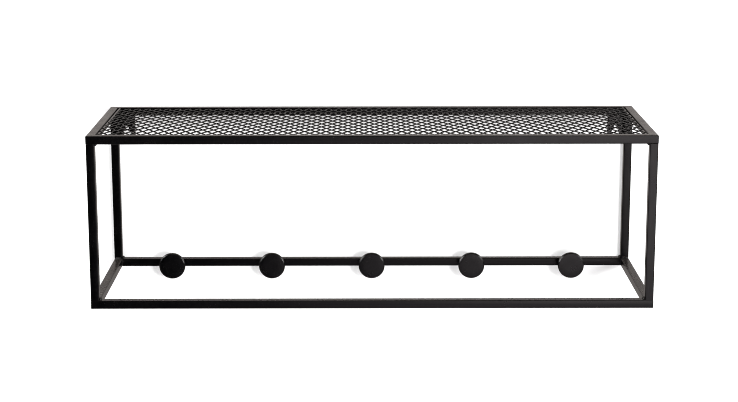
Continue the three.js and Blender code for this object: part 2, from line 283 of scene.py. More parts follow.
@dataclass(frozen=True)
class PowderCoat(Finish):
    """Baked black powder coat: a near-black film with fine orange peel, cloudy gloss and dust on top."""

    tone: Colour = (0.0002, 0.0002, 0.0003)
    worn_tone: Colour = (0.0012, 0.001, 0.0011)
    dust_tone: Colour = (0.035, 0.03, 0.027)
    side_tone: Colour | None = None
    roughness: float = 0.24
    roughness_spread: float = 0.08
    top_roughness: float = 0.27
    top_spread: float = 0.2
    top_power: float = 4.0
    peel_size: float = 1.1 * MM
    peel_height: float = 0.01 * MM
    grain_size: float = 0.35 * MM
    grain_height: float = 0.003 * MM
    cloud_size: float = 26 * MM
    speck_peels: float = 3.0
    cloud_gloss: float = 2.0
    speck_gloss: float = 1.2
    speck_start: float = 0.42
    speck_wear: float = 2.2
    cloud_start: float = 0.45
    cloud_wear: float = 1.5
    dust_gain: float = 1.6
    dust_floor: float = 0.3
    specular: float = 0.5
    film: float = 0.0
    film_roughness: float = 0.12
    film_ior: float = 1.38
    seed: float = 1.0

    def surface(self, graph: Graph) -> Field:
        """Wires the paint.

        Args:
            graph: The material's tree.

        Returns:
            The shader.
        """
        where = graph.out("ShaderNodeTexCoord", output="Object")
        peel = graph.noise(self.peel_size, 2.0, self.seed, where)
        grain = graph.noise(self.grain_size, 1.0, self.seed + 3.0, where)
        cloud = graph.noise(self.cloud_size, 4.0, self.seed + 7.0, where)
        speck = graph.noise(self.peel_size * self.speck_peels, 3.0, self.seed + 11.0, where)
        height = peel * self.peel_height + grain * self.grain_height
        mottle = (cloud - 0.5) * self.cloud_gloss + (speck - 0.5) * self.speck_gloss
        up = graph.split(graph.out("ShaderNodeNewGeometry", output="Normal"))[2].clamped()
        top = up**self.top_power
        gloss = top * (self.top_roughness - self.roughness) + self.roughness
        spread = top * (self.top_spread - self.roughness_spread) + self.roughness_spread
        worn_specks = (speck - self.speck_start) * self.speck_wear
        wear = (worn_specks + (cloud - self.cloud_start) * self.cloud_wear).clamped()
        dust = top * (speck * self.dust_gain - self.dust_floor).clamped()
        paint = graph.blend(dust, graph.blend(wear, self.tone, self.worn_tone), self.dust_tone)
        if self.side_tone:
            paint = graph.blend(top, self.side_tone, paint)
        inputs = {
            "Base Color": paint,
            "Roughness": graph.math("ADD", mottle * spread, gloss, clamp=True),
            "IOR": 1.5,
            "Specular IOR Level": self.specular,
            "Coat Roughness": self.film_roughness,
            "Coat IOR": self.film_ior,
            "Normal": graph.bump(height),
        }
        if self.film:
            inputs["Coat Weight"] = (1.0 - top) * self.film
        return graph.out("ShaderNodeBsdfPrincipled", inputs)


@dataclass(frozen=True)
class ZincPlate(Finish):
    """Bright zinc plating on small fasteners, with turning marks and dull spots."""

    pale: Colour = (0.62, 0.63, 0.66)
    dull: Colour = (0.38, 0.39, 0.41)
    roughness: float = 0.3
    roughness_spread: float = 0.2
    spot_size: float = 1.5 * MM
    mark_size: float = 0.25 * MM
    mark_height: float = 0.01 * MM

    def surface(self, graph: Graph) -> Field:
        """Wires the plating.

        Args:
            graph: The material's tree.

        Returns:
            The shader.
        """
        where = graph.out("ShaderNodeTexCoord", output="Object")
        spots = graph.noise(self.spot_size, 3.0, 2.0, where)
        marks = graph.noise(self.mark_size, 1.0, 5.0, where)
        inputs = {
            "Base Color": graph.blend(spots, self.dull, self.pale),
            "Metallic": 1.0,
            "Roughness": (spots - 0.5) * self.roughness_spread + self.roughness,
            "Normal": graph.bump(marks * self.mark_height),
        }
        return graph.out("ShaderNodeBsdfPrincipled", inputs)


@dataclass(frozen=True)
class StudioWhite(Finish):
    """White stage surface: white to the eye, greyer in mirrors, and it takes the rack's soft shadow.

    Mirrors see it in three tones by height: darkest behind the low frame, a painted shade of the low frame
    that only mirrors show, and brightest above the rack.
    """

    paint: float = 0.92
    eye_share: float = 0.86
    # Painted shade: the tone that mirrors see on the wall below low_until, behind the low frame.
    low_tone: Colour = (0.37, 0.34, 0.325)
    low_until: float = -0.16
    mirror_tone: Colour = (0.56, 0.515, 0.495)
    bright_tone: Colour = (1.0, 0.93, 0.9)
    bright_from: float = 0.28
    tone_run: float = 0.04

    def surface(self, graph: Graph) -> Field:
        """Wires the white.

        Args:
            graph: The material's tree.

        Returns:
            The shader.
        """
        eye, mirror = graph.rays()
        place = graph.add("ShaderNodeNewGeometry")
        height = graph.split(graph.field(place, "Position"))[2]
        # Below low_until, mirrors see the painted shade of the low frame.
        over_low = ((height - self.low_until) / self.tone_run).clamped()
        over_rack = ((height - self.bright_from) / self.tone_run).clamped()
        mirrored = graph.blend(over_low, self.low_tone, self.mirror_tone)
        mirrored = graph.blend(over_rack, mirrored, self.bright_tone)
        glow = {"Color": graph.blend(mirror, WHITE, mirrored), "Strength": 1.0}
        sides = {
            0: eye * self.eye_share + mirror,
            1: graph.out("ShaderNodeBsdfDiffuse", {"Color": (self.paint, self.paint, self.paint, 1.0)}),
            2: graph.out("ShaderNodeEmission", glow),
        }
        both = {
            0: graph.field(place, "Backfacing"),
            1: graph.out("ShaderNodeMixShader", sides),
            2: graph.out("ShaderNodeBsdfTransparent"),
        }
        return graph.out("ShaderNodeMixShader", both)


FINISHES: dict[Slot, Finish] = {
    Slot.FRAME: PowderCoat("satin_black_frame"),
    Slot.WELD: PowderCoat("black_over_weld", roughness=0.3, peel_size=0.8 * MM, seed=2.0),
    Slot.SHELF: PowderCoat(
        "black_expanded_metal",
        tone=(0.0001, 0.0001, 0.0001),
        worn_tone=(0.0006, 0.0005, 0.0005),
        dust_tone=(0.0012, 0.001, 0.001),
        side_tone=(0.038, 0.036, 0.035),
        roughness=0.8,
        top_roughness=0.9,
        specular=0.0,
        film=0.7,
        peel_size=0.9 * MM,
        cloud_size=60 * MM,
        seed=3.0,
    ),
    Slot.PLATE: PowderCoat("satin_black_plate", seed=4.0),
    Slot.KNOB: PowderCoat(
        "textured_black_knob",
        roughness_spread=0.1,
        peel_size=0.9 * MM,
        peel_height=0.012 * MM,
        cloud_size=11 * MM,
        seed=5.0,
    ),
    Slot.SCREW: ZincPlate("bright_zinc"),
}
# A duller copy of the frame coat for the tubes by the wall: it paints shade on them by making them shine less
# than the same paint elsewhere.
FINISH_SHADED_BY_WALL = PowderCoat("satin_black_frame_painted_shade", specular=0.3)


class Workshop:
    """Turns finished meshes into pieces that ride on the rack."""

    def __init__(self) -> None:
        """Makes every finish once."""
        self.materials = {slot: finish.build() for slot, finish in FINISHES.items()}
        # The duller copy of the frame coat, which paints shade on the tubes by the wall.
        self.by_wall = FINISH_SHADED_BY_WALL.build()
        self.made = 0

    def piece(
        self, name: str, mesh: Mesh, slot: Slot, replaced: Iterable[str] = (), by_wall: bool = False
    ) -> None:
        """Makes a piece of the rack from a mesh that is already in place.

        Args:
            name: Name of the piece.
            mesh: Its mesh, in the rack's frame.
            slot: The record's slot of its finish.
            replaced: Frame nodes that it stands for.
            by_wall: Whether it is a tube by the wall, which takes the duller copy of the coat that paints
                shade there.
        """
        mesh.name = name
        mesh.materials.clear()
        mesh.materials.append(self.by_wall if by_wall else self.materials[slot])
        for polygon in mesh.polygons:
            polygon.material_index = 0
        piece = bpy.data.objects.new(name, mesh)
        bpy.context.scene.collection.objects.link(piece)
        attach(piece, BODY)
        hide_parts(*replaced)
        self.made += 1
        LOG.info("%s: %d faces in %s", name, len(mesh.polygons), slot.value)


def mesh_of(shape: Shape, sharp_degrees: float | None = 32.0) -> Mesh:
    """A mesh with outward faces, smooth but for its hard edges.

    Args:
        shape: The closed shape, which is used up.
        sharp_degrees: Edges that turn more than this stay hard. None shades every face flat.

    Returns:
        The mesh.
    """
    bmesh.ops.recalc_face_normals(shape, faces=shape.faces)
    if sharp_degrees is not None:
        limit = math.radians(sharp_degrees)
        for face in shape.faces:
            face.smooth = True
        for edge in shape.edges:
            edge.smooth = edge.calc_face_angle(math.pi) < limit
    mesh = bpy.data.meshes.new("shape")
    shape.to_mesh(mesh)
    shape.free()
    return mesh


def loft(rings: Sequence[Sequence[Vector]], closed: bool = False) -> Shape:
    """Joins rings of points into a skin with flat ends. A ring of one point is a pole.

    Args:
        rings: Rings of the same number of points, or of one.
        closed: Whether the last ring joins the first, which leaves no ends.

    Returns:
        The skin.
    """
    shape = bmesh.new()
    loops = [[shape.verts.new(point) for point in ring] for ring in rings]
    pairs = list(zip(loops, loops[1:]))
    if closed:
        pairs.append((loops[-1], loops[0]))
    for low, high in pairs:
        count = max(len(low), len(high))
        for i in range(count):
            j = (i + 1) % count
            corners = [low[i % len(low)], low[j % len(low)], high[j % len(high)], high[i % len(high)]]
            shape.faces.new(list(dict.fromkeys(corners)))
    if not closed:
        for end in (loops[0], loops[-1]):
            if len(end) > 2:
                shape.faces.new(end)
    return shape


def arc(centre: tuple[float, float], radius: float, start: float, end: float, steps: int) -> Outline:
    """Points along an arc in so many steps from one angle to another, in degrees, both included."""
    turns = [math.radians(start + (end - start) * i / steps) for i in range(steps + 1)]
    return [(centre[0] + radius * math.cos(t), centre[1] + radius * math.sin(t)) for t in turns]


def rounded_rectangle(half_width: float, half_height: float, radius: float, steps: int) -> Outline:
    """A rectangle with round corners, centred on zero.

    Args:
        half_width: Half of its width.
        half_height: Half of its height.
        radius: Its corner radius.
        steps: Chords in a corner.

    Returns:
        Its points, anticlockwise.
    """
    reach_u, reach_v = half_width - radius, half_height - radius
    points: Outline = []
    for quarter, (sign_u, sign_v) in enumerate([(1, 1), (-1, 1), (-1, -1), (1, -1)]):
        start = 90 * quarter
        points += arc((sign_u * reach_u, sign_v * reach_v), radius, start, start + 90, steps)
    return points


def turned(profile: Outline, sides: int, foot: Vector) -> Shape:
    """A body turned round the Y direction.

    Args:
        profile: Pairs of radius and place along Y, from axis to axis.
        sides: Facets round the axis.
        foot: Where the profile's zero lies.

    Returns:
        The closed body.
    """
    turns = [2 * math.pi * i / sides for i in range(sides)]
    rings = []
    for radius, along in profile:
        around = turns if radius else turns[:1]
        rings.append([foot + Vector((radius * math.cos(t), along, radius * math.sin(t))) for t in around])
    return loft(rings)


def rod(radius: float, start: float, end: float, sides: int, foot: Vector) -> Shape:
    """A plain bar along Y with so many sides, from start to end as measured from the foot."""
    return turned([(0.0, start), (radius, start), (radius, end), (0.0, end)], sides, foot)


def on_axis(low: Vector, high: Vector, y: float) -> Vector:
    """The point at y on the line along Y through the middle of a box."""
    centre = (low + high) / 2
    return Vector((centre.x, y, centre.z))


def prism(outline: Outline, x: float, z: float, back: float, front: float) -> Mesh:
    """The solid of an outline round x and z in the wall's plane, drawn along Y from back to front."""
    return mesh_of(loft([[Vector((x + u, y, z + v)) for u, v in outline] for y in (back, front)]))


def bench_object(mesh: Mesh) -> bpy.types.Object:
    """A passing object that only carries a mesh through its modifiers.

    Args:
        mesh: The mesh.

    Returns:
        The object, linked to the scene.
    """
    carrier = bpy.data.objects.new("bench", mesh)
    bpy.context.scene.collection.objects.link(carrier)
    return carrier


def evaluated(carrier: bpy.types.Object) -> Mesh:
    """The mesh of an object after its modifiers. The object is removed.

    Args:
        carrier: The object.

    Returns:
        The plain mesh.
    """
    bpy.context.view_layer.update()
    graph = bpy.context.evaluated_depsgraph_get()
    mesh = bpy.data.meshes.new_from_object(carrier.evaluated_get(graph))
    bpy.data.objects.remove(carrier)
    return mesh


def cut(mesh: Mesh, cutters: Sequence[Mesh], bevel: float = 0.0) -> Mesh:
    """Cuts solids out of a mesh, then breaks its edges.

    Args:
        mesh: The solid to cut.
        cutters: The solids that are taken away.
        bevel: Width of the broken edges.

    Returns:
        The cut mesh, with hard edges marked.
    """
    carrier = bench_object(mesh)
    tools = [bench_object(cutter) for cutter in cutters]
    for tool in tools:
        boolean = carrier.modifiers.new("cut", "BOOLEAN")
        boolean.operation = "DIFFERENCE"
        boolean.solver = "EXACT"
        boolean.object = tool
    if bevel:
        edge = carrier.modifiers.new("edge", "BEVEL")
        edge.width = bevel
        edge.segments = BEVEL_STEPS
        edge.limit_method = "ANGLE"
        edge.angle_limit = math.radians(BEVEL_DEGREES)
    result = evaluated(carrier)
    for tool in tools:
        bpy.data.objects.remove(tool)
    shape = bmesh.new()
    shape.from_mesh(result)
    bmesh.ops.remove_doubles(shape, verts=shape.verts, dist=MERGE_DISTANCE)
    return mesh_of(shape)


@dataclass(frozen=True)
class SquareTube:
    """Cold-formed square tube: rounded outside corners, tighter inside ones."""

    side: float = 12 * MM
    wall: float = 1.2 * MM
    outer_radius: float = 1.15 * MM
    inner_radius: float = 0.4 * MM
    corner_steps: int = 6

    def outline(self, half: float, radius: float) -> Outline:
        """A square section, from half of its side and its corner radius."""
        return rounded_rectangle(half, half, radius, self.corner_steps)

    def length(self, low: Vector, high: Vector, outward: Vector, mitred: bool) -> Mesh:
        """A length of tube that fills a box of the frame.

        Args:
            low: The box's lowest corner.
            high: The box's highest corner.
            outward: The direction of the tube's outer side.
            mitred: Whether its ends are cut at 45 degrees, with the outer side longest.

        Returns:
            The tube, with open ends and a hollow bore.
        """
        size = high - low
        run_axis = max(range(3), key=lambda i: size[i])
        along = Vector([1.0 if i == run_axis else 0.0 for i in range(3)])
        across = along.cross(outward)
        centre = (low + high) / 2
        half_run = size[run_axis] / 2
        half = self.side / 2

        def ring(points: Outline, end: int) -> list[Vector]:
            """One ring of points at one end of the tube."""
            return [
                centre
                + outward * u
                + across * v
                + along * end * (half_run - (half - u if mitred else 0.0))
                for u, v in points
            ]

        outside = self.outline(half, self.outer_radius)
        inside = self.outline(half - self.wall, self.inner_radius)
        rings = [ring(outside, -1), ring(outside, 1), ring(inside, 1), ring(inside, -1)]
        return mesh_of(loft(rings, closed=True))


@dataclass
class TubeFrame:
    """The twelve tubes of the welded box, the rear bottom one drilled for its knobs."""

    workshop: Workshop
    tube: SquareTube
    shank_radius: float = 2.3 * MM
    access_play: float = 0.7 * MM
    drill_sides: int = 40

    def build(self) -> None:
        """Makes the rails and the posts."""
        # Tubes at the rear take the duller copy of the coat, which paints shade by the wall.
        for level in Level:
            for side in Side:
                drills = self.drills() if (level, side) == (Level.BOTTOM, Side.REAR) else []
                self.member(f"{level.value}_rail_{side.word}", side, side is Side.REAR, drills=drills)
        for depth, side in CORNERS:
            self.member(f"post_{depth.word}_{side.word}", side, depth is Side.REAR, mitred=False)

    def member(
        self, node: str, side: Side, by_wall: bool, mitred: bool = True, drills: Sequence[Mesh] = ()
    ) -> None:
        """Makes one mitred rail or square-cut post.

        Args:
            node: Its node.
            side: The side of the rack that it stands on.
            by_wall: Whether it lies by the wall and takes the duller copy of the coat that paints shade
                there.
            mitred: Whether its ends are mitred.
            drills: Cutters for its holes.
        """
        low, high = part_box(node)
        mesh = self.tube.length(low, high, side.outward, mitred)
        if drills:
            mesh = cut(mesh, drills)
        self.workshop.piece(f"{node}_tube", mesh, Slot.FRAME, [node], by_wall)

    def drills(self) -> list[Mesh]:
        """Cutters for every knob: a shank's hole in the front wall, an access hole in the rear wall.

        Returns:
            The cutters, two for each knob.
        """
        rail_low, rail_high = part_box("bottom_rail_rear")
        front, back = rail_low.y - CUT_OVERRUN, rail_high.y + CUT_OVERRUN
        middle = (rail_low.y + rail_high.y) / 2
        cutters = []
        for number in range(1, KNOB_COUNT + 1):
            low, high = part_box(f"knob_screw_{number}")
            access_radius = (high.x - low.x) / 2 + self.access_play
            for bore in ((self.shank_radius, front, middle), (access_radius, middle, back)):
                cutters.append(mesh_of(rod(*bore, self.drill_sides, on_axis(low, high, 0.0))))
        return cutters


class GeometryTree(Graph):
    """A Geometry Nodes tree with named inputs, and the run that turns it into a plain mesh."""

    KINDS = {float: "NodeSocketFloat", int: "NodeSocketInt"}

    def __init__(self, name: str, sizes: dict[str, float | int]) -> None:
        """Starts a tree with one output and an input for each size.

        Args:
            name: The tree's name.
            sizes: Input names and their values.
        """
        super().__init__(bpy.data.node_groups.new(name, "GeometryNodeTree"))
        self.sizes = sizes
        self.identifiers: dict[str, str] = {}
        face = self.tree.interface
        for label, value in sizes.items():
            socket = face.new_socket(name=label, in_out="INPUT", socket_type=self.KINDS[type(value)])
            self.identifiers[label] = socket.identifier
        face.new_socket(name="Geometry", in_out="OUTPUT", socket_type="NodeSocketGeometry")
        self.inputs = self.add("NodeGroupInput")
        self.output = self.add("NodeGroupOutput")

    def size(self, label: str) -> Field:
        """One of the named inputs."""
        return self.field(self.inputs, label)

    def capture(self, geometry: Field, kind: str, value: Field) -> tuple[Field, Field]:
        """Stores a value on a geometry before it is changed.

        Args:
            geometry: The geometry.
            kind: The value's socket type.
            value: The value.

        Returns:
            The geometry, and the value as it was stored.
        """
        node = self.add("GeometryNodeCaptureAttribute", {"Geometry": geometry})
        node.capture_items.new(kind, "kept")
        self.feed(node.inputs["kept"], value)
        return self.field(node), self.field(node, "kept")

    def close(self, geometry: Field, material: bpy.types.Material) -> None:
        """Ends the tree with realized geometry in one material.

        Args:
            geometry: What the tree made.
            material: Its material.
        """
        real = self.out("GeometryNodeRealizeInstances", {0: geometry})
        painted = self.out("GeometryNodeSetMaterial", {"Geometry": real, "Material": material})
        self.feed(self.output.inputs[0], painted)

    def run(self, sizes: dict[str, float | int] | None = None) -> Mesh:
        """Evaluates the tree on an empty mesh.

        Args:
            sizes: Values that differ from the tree's own.

        Returns:
            The plain mesh.
        """
        carrier = bench_object(bpy.data.meshes.new("seed"))
        modifier = carrier.modifiers.new("nodes", "NODES")
        modifier.node_group = self.tree
        for label, value in {**self.sizes, **(sizes or {})}.items():
            modifier[self.identifiers[label]] = value
        return evaluated(carrier)


@dataclass(frozen=True)
class ExpandedMetal:
    """Expanded metal rolled nearly flat: slit strips drawn into zigzags, still joined at their bonds.

    Strip k swings between column k, where it is the upper half of each bond, and column k + 1,
    where it is the lower half. All strips lean the same way.
    """

    columns: int = 101
    rows: int = 18
    strand_width: float = 2.8 * MM
    thickness: float = 1.2 * MM
    bond_length: float = 3.5 * MM
    edge_break: float = 0.28 * MM
    edge_fall: float = 1.9
    edge_run: float = 4.0
    wave_height: float = 0.5 * MM
    wave_size: float = 150 * MM
    bow_left: float = 2.6 * MM
    bow_right: float = 1.4 * MM
    bow_end_power: float = 8.0
    drop: float = 1.2 * MM
    sides: int = 8
    rings_per_cell: int = 5
    whole_nudge: float = 0.001
    bend_start: float = 0.8
    bend_end: float = 1.25
    seed: float = 4.0

    def tree(self, width: float, depth: float, material: bpy.types.Material) -> GeometryTree:
        """The node tree for a sheet of a given outer size.

        Args:
            width: Its outer size along X.
            depth: Its outer size along Y.
            material: Its finish.

        Returns:
            The tree.
        """
        graph = GeometryTree(
            "expanded_metal",
            {
                "Columns": self.columns,
                "Rows": self.rows,
                "Column Pitch": width / self.columns,
                "Row Pitch": (depth - self.bond_length) / self.rows,
                "Strand Width": self.strand_width,
                "Sheet Thickness": self.thickness,
                "Bond Length": self.bond_length,
                "Edge Break": self.edge_break,
                "Wave Height": self.wave_height,
                "Wave Size": self.wave_size,
                "Bow Left": self.bow_left,
                "Bow Right": self.bow_right,
                "Seed": self.seed,
            },
        )
        rings = graph.size("Rows") * float(self.rings_per_cell)
        tube = graph.out(
            "GeometryNodeMeshCylinder",
            {"Vertices": self.sides, "Side Segments": rings, "Radius": 1.0, "Depth": rings},
            fill_type="NGON",
        )
        line = graph.out("GeometryNodeMeshLine", {"Count": graph.size("Columns")})
        tube, local = graph.capture(tube, "VECTOR", graph.out("GeometryNodeInputPosition"))
        line, strip = graph.capture(line, "INT", graph.out("GeometryNodeInputIndex"))
        strips = graph.out("GeometryNodeInstanceOnPoints", {"Points": line, "Instance": tube})
        real = graph.out("GeometryNodeRealizeInstances", {0: strips})
        place = self.place(graph, local, strip, rings)
        graph.close(graph.out("GeometryNodeSetPosition", {"Geometry": real, "Position": place}), material)
        return graph

    def place(self, graph: GeometryTree, local: Field, strip: Field, rings: Field) -> Field:
        """Where each point of each strip goes.

        Args:
            graph: The tree.
            local: The point's place on the straight eight-sided tube.
            strip: The strip's number.
            rings: The number of rings along a strip.

        Returns:
            The place in the sheet.
        """
        around_x, around_y, around_z = graph.split(local)
        rows, columns = graph.size("Rows"), graph.size("Columns")
        pitch_x, pitch_y = graph.size("Column Pitch"), graph.size("Row Pitch")
        width, bond = graph.size("Strand Width"), graph.size("Bond Length")

        ring = around_z + rings * 0.5
        flat = bond * 0.5 / pitch_y
        cell = graph.math("FLOOR", ring * (1 / self.rings_per_cell) + self.whole_nudge)
        step = ring - cell * float(self.rings_per_cell)
        bonded_run = flat * self.bend_start
        bent_run = flat * (self.bend_end - self.bend_start)
        straight_run = 1.0 - flat * (2 * self.bend_end)
        run = cell
        for i, share in enumerate((bonded_run, bent_run, straight_run, bent_run, bonded_run)):
            run = run + (step - float(i)).clamped() * share

        phase = graph.math("PINGPONG", run + strip, 1.0)
        swing = ((phase - bonded_run) / (1.0 - bonded_run * 2.0)).clamped()
        overhang = (ring - rings + 1.0).clamped() - (1.0 - ring).clamped()

        turn_cos, turn_sin = math.cos(math.pi / self.sides), math.sin(math.pi / self.sides)
        u = around_x * turn_cos - around_y * turn_sin
        v = around_x * turn_sin + around_y * turn_cos
        on_side = graph.math("GREATER_THAN", abs(u), abs(v))
        upper = graph.math("GREATER_THAN", u, 0.0)
        free = ((upper + swing - upper * swing * 2.0) * -self.edge_run + self.edge_run).clamped()
        bonded = ((1.0 - swing) * upper + swing * (1.0 - upper)) * self.edge_run
        corner = graph.size("Edge Break") * graph.math("MINIMUM", free + bonded, 1.0) * bonded.clamped()
        reach_u = graph.math("SIGN", u) * (width * 0.5 - corner * (1.0 - on_side))
        reach_v = graph.math("SIGN", v) * (
            graph.size("Sheet Thickness") * 0.5 - corner * self.edge_fall * on_side
        )

        x = (strip - columns * 0.5) * pitch_x + (width * 0.5 + swing * (pitch_x - width)) + reach_u
        y = (run - rows * 0.5) * pitch_y + overhang * bond * 0.5
        wave = graph.noise(graph.size("Wave Size"), 0.0, graph.size("Seed"), graph.vector(x, y, 0.0))
        level = (wave - 0.5) * 2.0 * graph.size("Wave Height")
        across = x / (columns * pitch_x * 0.5)
        along = y / (rows * pitch_y * 0.5)
        left, right = graph.size("Bow Left"), graph.size("Bow Right")
        square = across * across
        swell = square * (1.0 - square**self.bow_end_power) * (1.0 - along * along)
        bow = (left + (right - left) * (across * 0.5 + 0.5)) * swell
        return graph.vector(x, y, level + bow - reach_v)


@dataclass
class HatShelf:
    """The expanded-metal sheet in the top frame, with a bar welded along each of its short ends."""

    workshop: Workshop
    metal: ExpandedMetal
    bar_width: float = 3.2 * MM
    bar_height: float = 5.0 * MM
    bar_radius: float = 0.8 * MM
    bar_steps: int = 4
    bar_rise: float = 0.68 * MM
    end_play: float = 0.8 * MM

    def build(self) -> None:
        """Makes the shelf and its end bars."""
        low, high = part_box("mesh_shelf")
        size = high - low
        material = self.workshop.materials[Slot.SHELF]
        mesh = self.metal.tree(size.x - 2 * self.end_play, size.y, material).run()
        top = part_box("top_rail_front")[1].z - self.metal.drop
        mesh.transform(Matrix.Translation(((low.x + high.x) / 2, (low.y + high.y) / 2, top)))
        self.workshop.piece("hat_shelf", mesh, Slot.SHELF, ["mesh_shelf"])
        half_width, half_height = self.bar_width / 2, self.bar_height / 2
        section = rounded_rectangle(half_width, half_height, self.bar_radius, self.bar_steps)
        inset = self.end_play + half_width
        for side, x in ((Side.LEFT, low.x + inset), (Side.RIGHT, high.x - inset)):
            bar = prism(section, x, top + self.bar_rise - half_height, low.y, high.y)
            self.workshop.piece(f"shelf_end_bar_{side.word}", bar, Slot.FRAME)


@dataclass(frozen=True)
class WeldBead:
    """A run of weld in an inside corner: a rippled roll with rounded ends."""

    radius: float = 2.3 * MM
    ripple_pitch: float = 1.1 * MM
    ripple_share: float = 0.12
    sides: int = 20
    rings_per_mm: float = 5.0
    fewest_rings: int = 12
    plain_run: float = 9 * MM
    end_fill: float = 0.97
    wobble_size: float = 1.25
    wobble_stretch: float = 900.0
    wobble_share: float = 0.7
    ripple_lean: float = 0.2
    ripple_start: float = 20.0

    def rings(self, run: float) -> int:
        """How many rings a bead of a length has."""
        return max(self.fewest_rings, round(run / MM * self.rings_per_mm))

    def tree(self, material: bpy.types.Material) -> GeometryTree:
        """The node tree for a bead along Y, centred on the origin.

        Args:
            material: Its finish.

        Returns:
            The tree.
        """
        sizes = {
            "Run": self.plain_run,
            "Radius": self.radius,
            "Ripple Pitch": self.ripple_pitch,
            "Rings": self.rings(self.plain_run),
            "Seed": 1.0,
        }
        graph = GeometryTree("weld_bead", sizes)
        run, radius = graph.size("Run"), graph.size("Radius")
        roll = graph.out(
            "GeometryNodeMeshCylinder",
            {"Vertices": self.sides, "Side Segments": graph.size("Rings"), "Radius": 1.0, "Depth": 1.0},
            fill_type="NGON",
        )
        across, up, share = graph.split(graph.out("GeometryNodeInputPosition"))
        along = share * run
        end = ((run * 0.5 - abs(along)) / radius).clamped()
        dome = graph.math("SQRT", 1.0 - (1.0 - end) * (1.0 - end) * self.end_fill)
        where = graph.vector(across, up, along * self.wobble_stretch)
        wobble = graph.noise(self.wobble_size, 2.0, graph.size("Seed"), where)
        lag = wobble * self.wobble_share + across * self.ripple_lean
        phase = graph.math("FRACT", along / graph.size("Ripple Pitch") + lag + self.ripple_start)
        scallop = 1.0 - abs(phase * 2.0 - 1.0) ** 2.0
        girth = radius * dome * (scallop * self.ripple_share + (1.0 - self.ripple_share))
        place = graph.vector(across * girth, along, up * girth)
        moved = graph.out("GeometryNodeSetPosition", {"Geometry": roll, "Position": place})
        turned_out = graph.out("GeometryNodeFlipFaces", {0: moved})
        graph.close(graph.out("GeometryNodeSetShadeSmooth", {0: turned_out}), material)
        return graph


@dataclass
class CornerWelds:
    """The sixteen beads inside the corners and the ground seams on the mitres.

    A seam is given as pairs of a place across it and how proud it stands there, in millimetres.
    """

    workshop: Workshop
    bead: WeldBead
    tube: SquareTube
    sink_share: float = 0.28
    seam: tuple[tuple[float, float], ...] = (
        (-1.3, -0.12), (-0.8, 0.04), (0.0, 0.07), (0.8, 0.04), (1.3, -0.12)
    )

    def build(self) -> None:
        """Makes every bead and seam."""
        graph = self.bead.tree(self.workshop.materials[Slot.WELD])
        seed = 0.0
        for level in Level:
            for depth, side in CORNERS:
                for rail, wall in (("long", side), ("short", depth)):
                    seed += 1.0
                    node = f"weld_{level.value}_{depth.word}_{side.word}_{rail}_rail"
                    self.corner_bead(graph, node, level, wall, seed)
                self.mitre_seam(level, depth, side)

    def corner_bead(self, graph: GeometryTree, node: str, level: Level, wall: Side, seed: float) -> None:
        """Makes one bead in the corner where its node lies.

        Args:
            graph: The bead's tree.
            node: The bead's node.
            level: Its frame.
            wall: The side of the rack that it lies inside of.
            seed: Sets its ripples.
        """
        low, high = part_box(node)
        face_axis = 0 if wall.outward.x else 1
        run = (high - low)[1 - face_axis]
        mesh = graph.run({"Run": run, "Rings": self.bead.rings(run), "Seed": seed})
        inward = -wall.outward
        corner = (low + high) / 2
        corner[face_axis] = low[face_axis] if inward[face_axis] > 0 else high[face_axis]
        corner.z = high.z if level is Level.TOP else low.z
        away = -1.0 if level is Level.TOP else 1.0
        sink = self.bead.radius * self.sink_share
        centre = corner + inward * sink + Vector((0, 0, away * sink))
        turn = Matrix.Rotation(math.radians(90 * face_axis), 4, "Z")
        mesh.transform(Matrix.Translation(centre) @ turn)
        self.workshop.piece(f"{node}_bead", mesh, Slot.WELD, [node])

    def mitre_seam(self, level: Level, depth: Side, side: Side) -> None:
        """Makes the dressed weld line where two rails meet at 45 degrees.

        Args:
            level: The frame.
            depth: Front or rear.
            side: Left or right.
        """
        long_low, long_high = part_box(f"{level.value}_rail_{depth.word}")
        short_low, short_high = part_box(f"{level.value}_rail_{side.word}")
        centre = (long_low + long_high) / 2
        centre.x = (short_low.x + short_high.x) / 2
        rings = []
        for offset, proud in self.seam:
            outline = self.tube.outline(self.tube.side / 2 + proud * MM, self.tube.outer_radius)
            back = abs(offset) * MM
            on_long = offset < 0
            along, across = (side.outward, depth.outward) if on_long else (depth.outward, side.outward)
            rings.append([centre + along * (u - back) + across * u + Vector((0, 0, v)) for u, v in outline])
        name = f"mitre_seam_{level.value}_{depth.word}_{side.word}"
        self.workshop.piece(name, mesh_of(loft(rings)), Slot.WELD)


@dataclass(frozen=True)
class Keyhole:
    """A keyhole for a wall screw: a round head opening with a slot above it."""

    head_radius: float = 6 * MM
    slot_radius: float = 2.6 * MM
    head_drop: float = 28.5 * MM
    slot_rise: float = 9.5 * MM
    arc_steps: int = 24

    def outline(self) -> Outline:
        """The keyhole, with the middle of the plate's top edge at zero.

        Returns:
            Its points.
        """
        neck = math.degrees(math.acos(self.slot_radius / self.head_radius))
        slot = arc((0.0, self.slot_rise - self.head_drop), self.slot_radius, 0, 180, self.arc_steps)
        head = arc((0.0, -self.head_drop), self.head_radius, 180 - neck, 360 + neck, 2 * self.arc_steps)
        return slot + head


